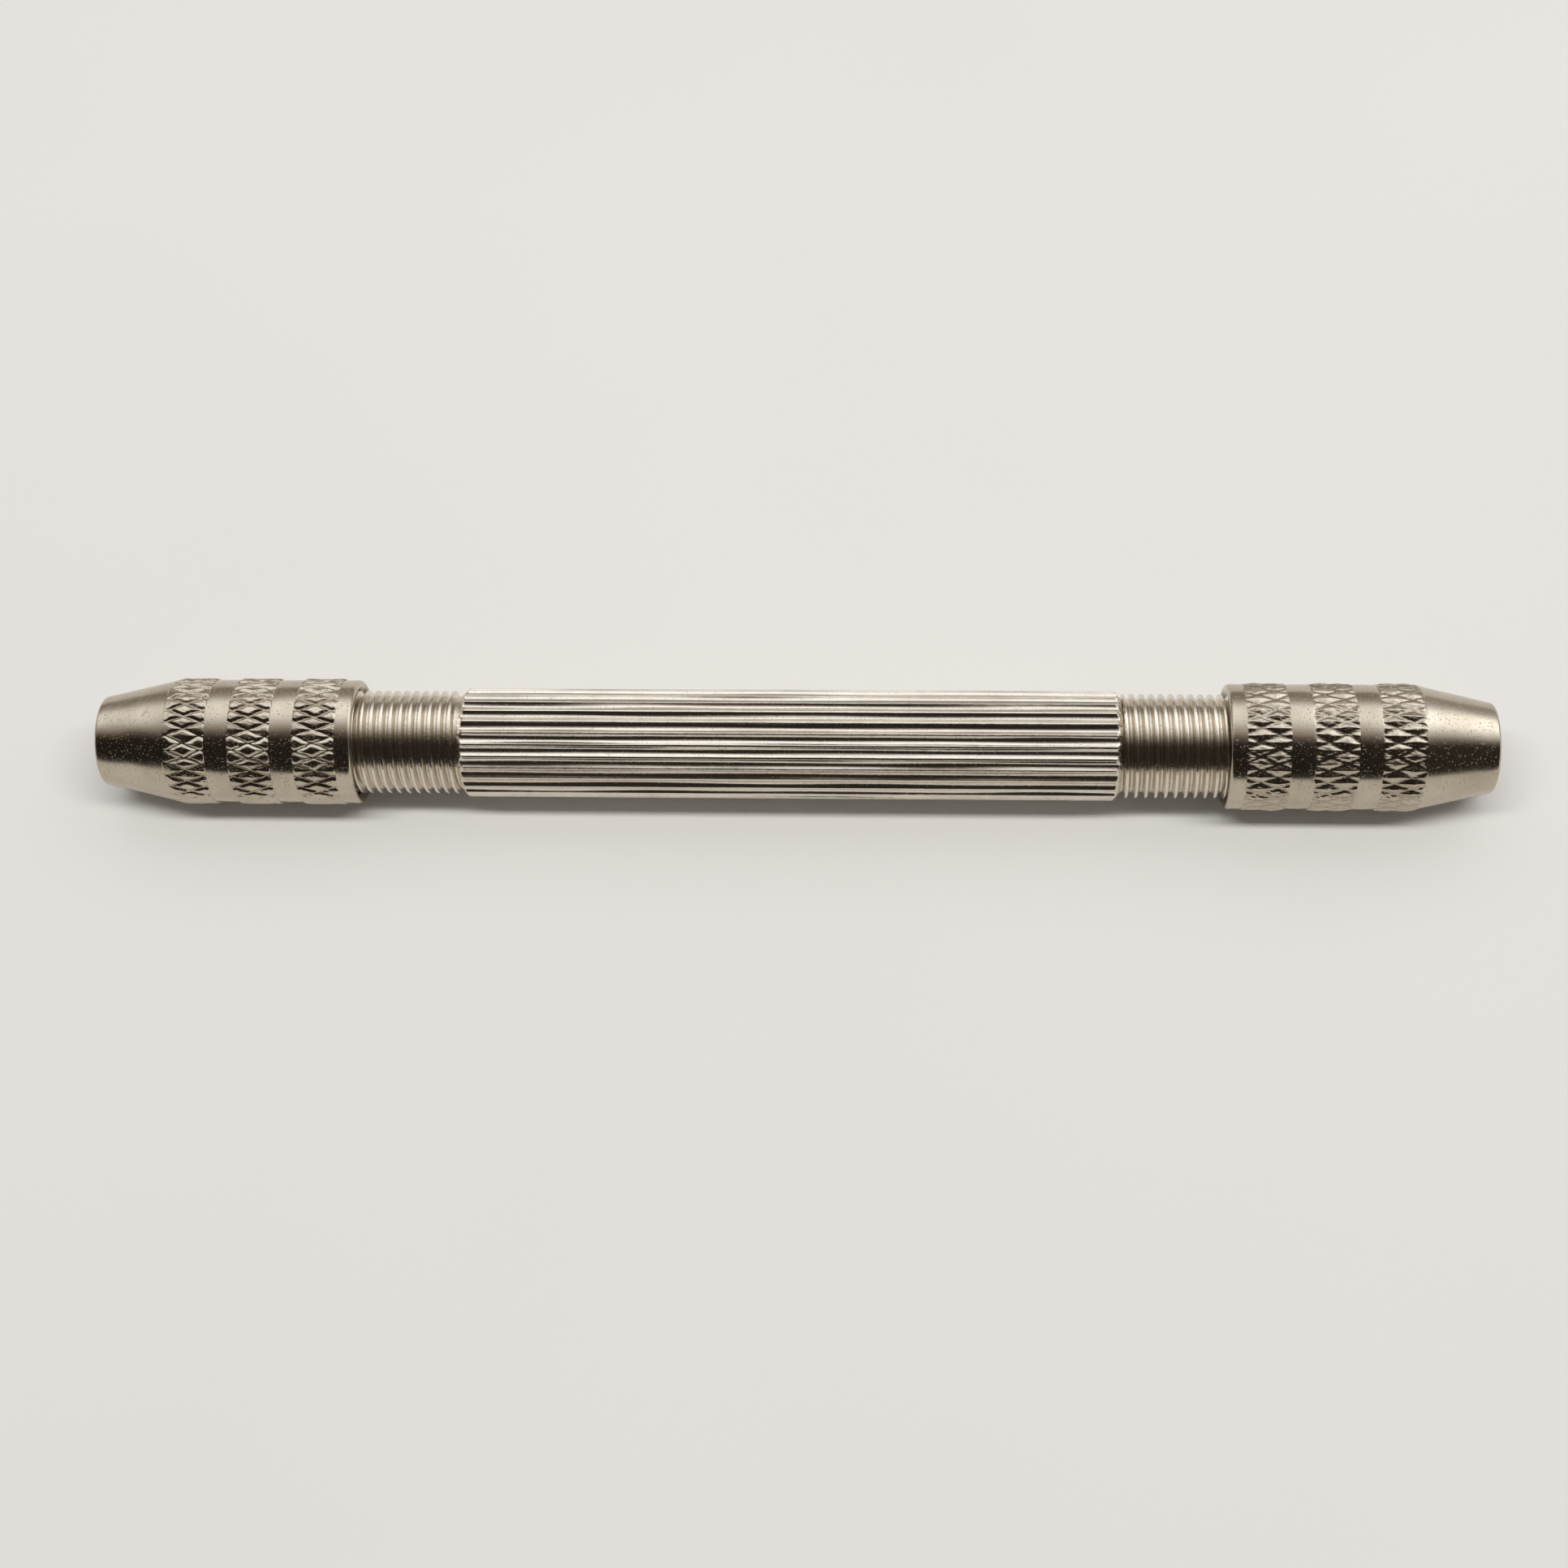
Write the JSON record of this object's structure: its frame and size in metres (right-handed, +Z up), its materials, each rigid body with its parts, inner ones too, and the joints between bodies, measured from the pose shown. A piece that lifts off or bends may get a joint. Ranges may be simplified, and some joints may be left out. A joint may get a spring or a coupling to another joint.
{
  "type": "double-ended pin vise",
  "caption": "Hand-held pin vise with a fluted handle, threaded stubs, knurled tapered chuck caps and reversible split collets at both ends.",
  "frame": {"origin": "middle of the tool: on its axis, halfway along the fluted barrel", "axes": "+X along the tool's axis towards the right-hand cap, +Z up as the tool lies on its knurled caps, +Y away from the viewer"},
  "size_m": [0.1, 0.0092, 0.0092],
  "materials": {
    "handle_nickel": "bright nickel plate over fluted steel, lightly worn",
    "cap_nickel": "bright nickel plate over turned and knurled steel, lightly pitted",
    "collet_steel": "turned, hardened spring steel"
  },
  "bodies": {
    "handle": {"handle": "handle_nickel"},
    "left_collet": {"left_collet": "collet_steel"},
    "left_cap": {"left_cap": "cap_nickel"},
    "right_collet": {"right_collet": "collet_steel"},
    "right_cap": {"right_cap": "cap_nickel"}
  },
  "joints": [
    {"name": "left_advance", "type": "slide", "parent": "handle", "child": "left_collet", "axis": [-1, 0, 0], "range_m": [-0.0007, 0.0056]},
    {"name": "left_screw", "type": "hinge", "parent": "left_collet", "child": "left_cap", "pos_m": [-0.04, 0, 0], "axis": [-1, 0, 0], "range_deg": [-360, 2880]},
    {"name": "right_advance", "type": "slide", "parent": "handle", "child": "right_collet", "axis": [1, 0, 0], "range_m": [-0.0007, 0.0056]},
    {"name": "right_screw", "type": "hinge", "parent": "right_collet", "child": "right_cap", "pos_m": [0.04, 0, 0], "axis": [1, 0, 0], "range_deg": [-360, 2880]}
  ],
  "couplings": [
    {"joint": "left_screw", "follows": "left_advance", "rad_per_m": 8976},
    {"joint": "right_screw", "follows": "right_advance", "rad_per_m": 8976}
  ]
}
